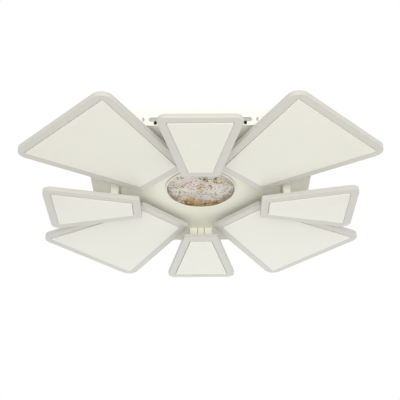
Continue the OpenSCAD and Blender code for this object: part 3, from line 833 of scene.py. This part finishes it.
def makeMetalwork(spec):
    low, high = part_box("ceiling_bracket")
    shape = mergedCopy("ceiling_bracket")
    soften(shape, atLevel(low.z), spec["bracketEase"], segments=2)
    put(shape, "bracket", "zinc", "bracket", ["ceiling_bracket"])
    for number in range(1, spec["sideScrews"] + 1):
        node = f"side_screw_{number}"
        low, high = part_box(node)
        shape = mergedCopy(node)
        middle = (low + high) / 2
        onTip = atLevel(low.y if middle.y < 0 else high.y, axis=1)
        reach = lambda corner: math.hypot(corner.co.x - middle.x, corner.co.z - middle.z)
        rim = lambda edge: onTip(edge) and min(reach(corner) for corner in edge.verts) > spec["headRim"]
        soften(shape, rim, spec["headDome"], segments=4)
        put(shape, camel(node), "blackOxide", node, [node])
    dress(["clamp_nuts", "large_screws", "small_screws", "disc_screws", "driver_studs", "earth_stud"], "zinc")


makeMetalwork(metalwork)
print("metalwork made")


# Electrics inside the tray
electrics = {
    "caseEase": 0.0016,
    "blockEase": 0.0006,
    "lidInset": 0.0030,
    "lidRise": 0.0005,
    "lidCorner": 0.0020,
    "lidEase": 0.0003,
    "seamBelow": 0.0050,
    "seamWidth": 0.0008,
    "seamDepth": 0.0004,
    "footLength": 0.011,
    "lidScrewInset": 0.0065,
    "lidScrewRadius": 0.0025,
    "lidScrewHeight": 0.0008,
    "wellDepth": 0.004,
    "wellWays": 5,
    "wellMargin": 0.0005,       # the wells' edges are this far in from the block's sides
    "wellScrewRadius": 0.0017,
    "wellScrewHeight": 0.0022,
}


def makeElectrics(spec):
    lidScrews = bmesh.new()
    for node in ("led_driver_1", "led_driver_2", "remote_receiver"):
        low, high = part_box(node)
        shape = mergedCopy(node)
        soften(shape, atLevel(high.z), spec["caseEase"], segments=4)
        cutSeam(shape, (low + high) / 2, high, spec)
        put(shape, camel(node), "case", "fixture", [node])
        foot = spec["footLength"] if node.startswith("led") else 0
        border = Vector((foot + spec["lidInset"], spec["lidInset"], 0))
        makeLid(f"{camel(node)}Lid", low + border, high - border, spec)
        inset = spec["lidScrewInset"]
        for x in (low.x + foot + inset, high.x - foot - inset):
            for y in (low.y + inset, high.y - inset):
                spot = Vector((x, y, high.z + spec["lidRise"]))
                addHead(lidScrews, spot, spec["lidScrewRadius"], spec["lidScrewHeight"])
    put(lidScrews, "lidScrews", "zinc", "fixture")

    low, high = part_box("terminal_block")
    shape = mergedCopy("terminal_block")
    onTop = atLevel(high.z)
    outer = lambda edge: onTop(edge) and not isWell(edge, low, high, spec["wellMargin"])
    soften(shape, outer, spec["blockEase"], segments=4)
    put(shape, "terminalBlock", "nylon", "fixture", ["terminal_block"])
    wellScrews = bmesh.new()
    step = (high.x - low.x) / spec["wellWays"]
    for way in range(spec["wellWays"]):
        spot = Vector((low.x + (way + 0.5) * step, (low.y + high.y) / 2, high.z - spec["wellDepth"]))
        addHead(wellScrews, spot, spec["wellScrewRadius"], spec["wellScrewHeight"])
    put(wellScrews, "terminalScrews", "brass", "fixture")
    dress(["large_leads", "small_leads", "disc_leads", "mains_leads"], "lead")


# A case's two halves meet in a fine groove round its side
def cutSeam(shape, middle, high, spec, slack=0.00001):
    level = high.z - spec["seamBelow"]
    for share in (-0.5, 0, 0.5):
        bmesh.ops.bisect_plane(shape, geom=shape.verts[:] + shape.edges[:] + shape.faces[:], dist=0.000001,
                               plane_co=(0, 0, level + share * spec["seamWidth"]), plane_no=(0, 0, 1))
    for corner in shape.verts:
        if abs(corner.co.z - level) < slack:
            inward = Vector((middle.x - corner.co.x, middle.y - corner.co.y, 0))
            for axis in (0, 1):
                if abs(inward[axis]) > spec["seamDepth"]:
                    corner.co[axis] += math.copysign(spec["seamDepth"], inward[axis])


# A lid lies on its case, sunk in by as much as it stands out
def makeLid(name, low, high, spec):
    middle = (low + high) / 2
    rise = spec["lidRise"]
    size = Matrix.Diagonal((high.x - low.x, high.y - low.y, 2 * rise, 1))
    shape = bmesh.new()
    bmesh.ops.create_cube(shape, size=1, matrix=Matrix.Translation((middle.x, middle.y, high.z)) @ size)
    soften(shape, lambda edge: rises(edge, rise), spec["lidCorner"], segments=4)
    soften(shape, atLevel(high.z + rise), spec["lidEase"], segments=3)
    put(shape, name, "case", "fixture")


# A pan head with a round socket, in shares of its radius and height
panHead = {"shoulder": 0.3, "crown": 0.2, "land": 0.15, "socketWall": 0.05, "socketDepth": 0.6}


def addHead(shape, spot, radius, height):
    made = bmesh.ops.create_cone(shape, cap_ends=True, segments=24, radius1=radius, radius2=radius,
                                 depth=height, matrix=Matrix.Translation(spot + Vector((0, 0, height / 2))))
    top = [f for f in {f for v in made["verts"] for f in v.link_faces} if f.normal.z > 0.9]
    for share, rise in ((panHead["shoulder"], panHead["crown"]), (panHead["land"], 0),
                        (panHead["socketWall"], -panHead["socketDepth"])):
        bmesh.ops.inset_region(shape, faces=top, thickness=radius * share, depth=height * rise)


def isWell(edge, low, high, margin):
    return all(low.x + margin < v.co.x < high.x - margin and low.y + margin < v.co.y < high.y - margin
               for v in edge.verts)


makeElectrics(electrics)
print("electrics made")


# Studio: a white world behind everything, a pale floor far below and soft lamps
studio = {
    "ambient": (1.0, 0.995, 0.975, 1.0),
    "ambientPower": 0.71,
    "floorLevel": -2.4,
    "floorSize": 14.0,
    "floorColour": srgb(236, 235, 230),
    "floorWhite": 0.85,      # the floor's share of plain white where it is seen
    "plainWhite": (1, 1, 1, 1),
    "lampsAim": (0, 0, -0.06),
    "lampWidth": 2.0,
    "lamps": [
        {"name": "keyLamp", "at": (0.0, -2.9, -1.2), "power": 55.0, "colour": (1.0, 0.995, 0.97)},
        {"name": "sideLamp", "at": (2.4, 0.0, -1.5), "power": 9.0, "colour": (0.97, 0.98, 1.0)},
        {"name": "farLamp", "at": (0.0, 3.0, -0.8), "power": 14.0, "colour": (0.86, 0.93, 1.0)},
    ],
}


# Seen by the camera itself, in a gloss or through the crystal
def seenPlainly(finish):
    direct = finish.add("LightPath", out="Is Camera Ray")
    glossy = finish.add("LightPath", out="Is Glossy Ray")
    through = finish.add("LightPath", out="Is Transmission Ray")
    return direct + glossy + through > 0.5


def makeWorld(spec):
    sky = Finish("studio", bpy.data.worlds)
    seen = seenPlainly(sky)
    plain = sky.add("Background", sockets={"Color": spec["ambient"], "Strength": spec["ambientPower"]})
    white = sky.add("Background", sockets={"Color": spec["plainWhite"], "Strength": 1.0})
    both = sky.add("MixShader", sockets={0: seen, 1: plain, 2: white})
    sky.add("OutputWorld", sockets={"Surface": both})
    bpy.context.scene.world = sky.owner


def makeFloor(spec):
    finish = Finish("floor")
    cloud = finish.cloud(scale=1.2, detail=2)
    lit = finish.add("BsdfDiffuse", sockets={
        "Color": finish.between(cloud, spec["floorColour"], shaded(spec["floorColour"], 0.97))})
    white = finish.add("Emission", sockets={"Color": spec["plainWhite"], "Strength": 1.0})
    seen = seenPlainly(finish)
    both = finish.add("MixShader", sockets={0: seen * spec["floorWhite"], 1: lit, 2: white})
    finish.add("OutputMaterial", sockets={"Surface": both})
    shape = bmesh.new()
    bmesh.ops.create_grid(shape, x_segments=1, y_segments=1, size=spec["floorSize"] / 2,
                          matrix=Matrix.Translation((0, 0, spec["floorLevel"])))
    mesh = bpy.data.meshes.new("floor")
    shape.to_mesh(mesh)
    shape.free()
    mesh.materials.append(finish.owner)
    floor = bpy.data.objects.new("floor", mesh)
    bpy.context.scene.collection.objects.link(floor)


def makeLamp(spec, width, aim):
    lamp = bpy.data.lights.new(spec["name"], "AREA")
    lamp.shape = "SQUARE"
    lamp.size = width
    lamp.energy = spec["power"]
    lamp.color = spec["colour"]
    holder = bpy.data.objects.new(spec["name"], lamp)
    turn = (Vector(aim) - Vector(spec["at"])).to_track_quat("-Z", "Y").to_matrix().to_4x4()
    holder.matrix_world = Matrix.Translation(spec["at"]) @ turn
    holder.visible_camera = False
    bpy.context.scene.collection.objects.link(holder)


makeWorld(studio)
makeFloor(studio)
for lampSpec in studio["lamps"]:
    makeLamp(lampSpec, studio["lampWidth"], studio["lampsAim"])
print("studio lit")
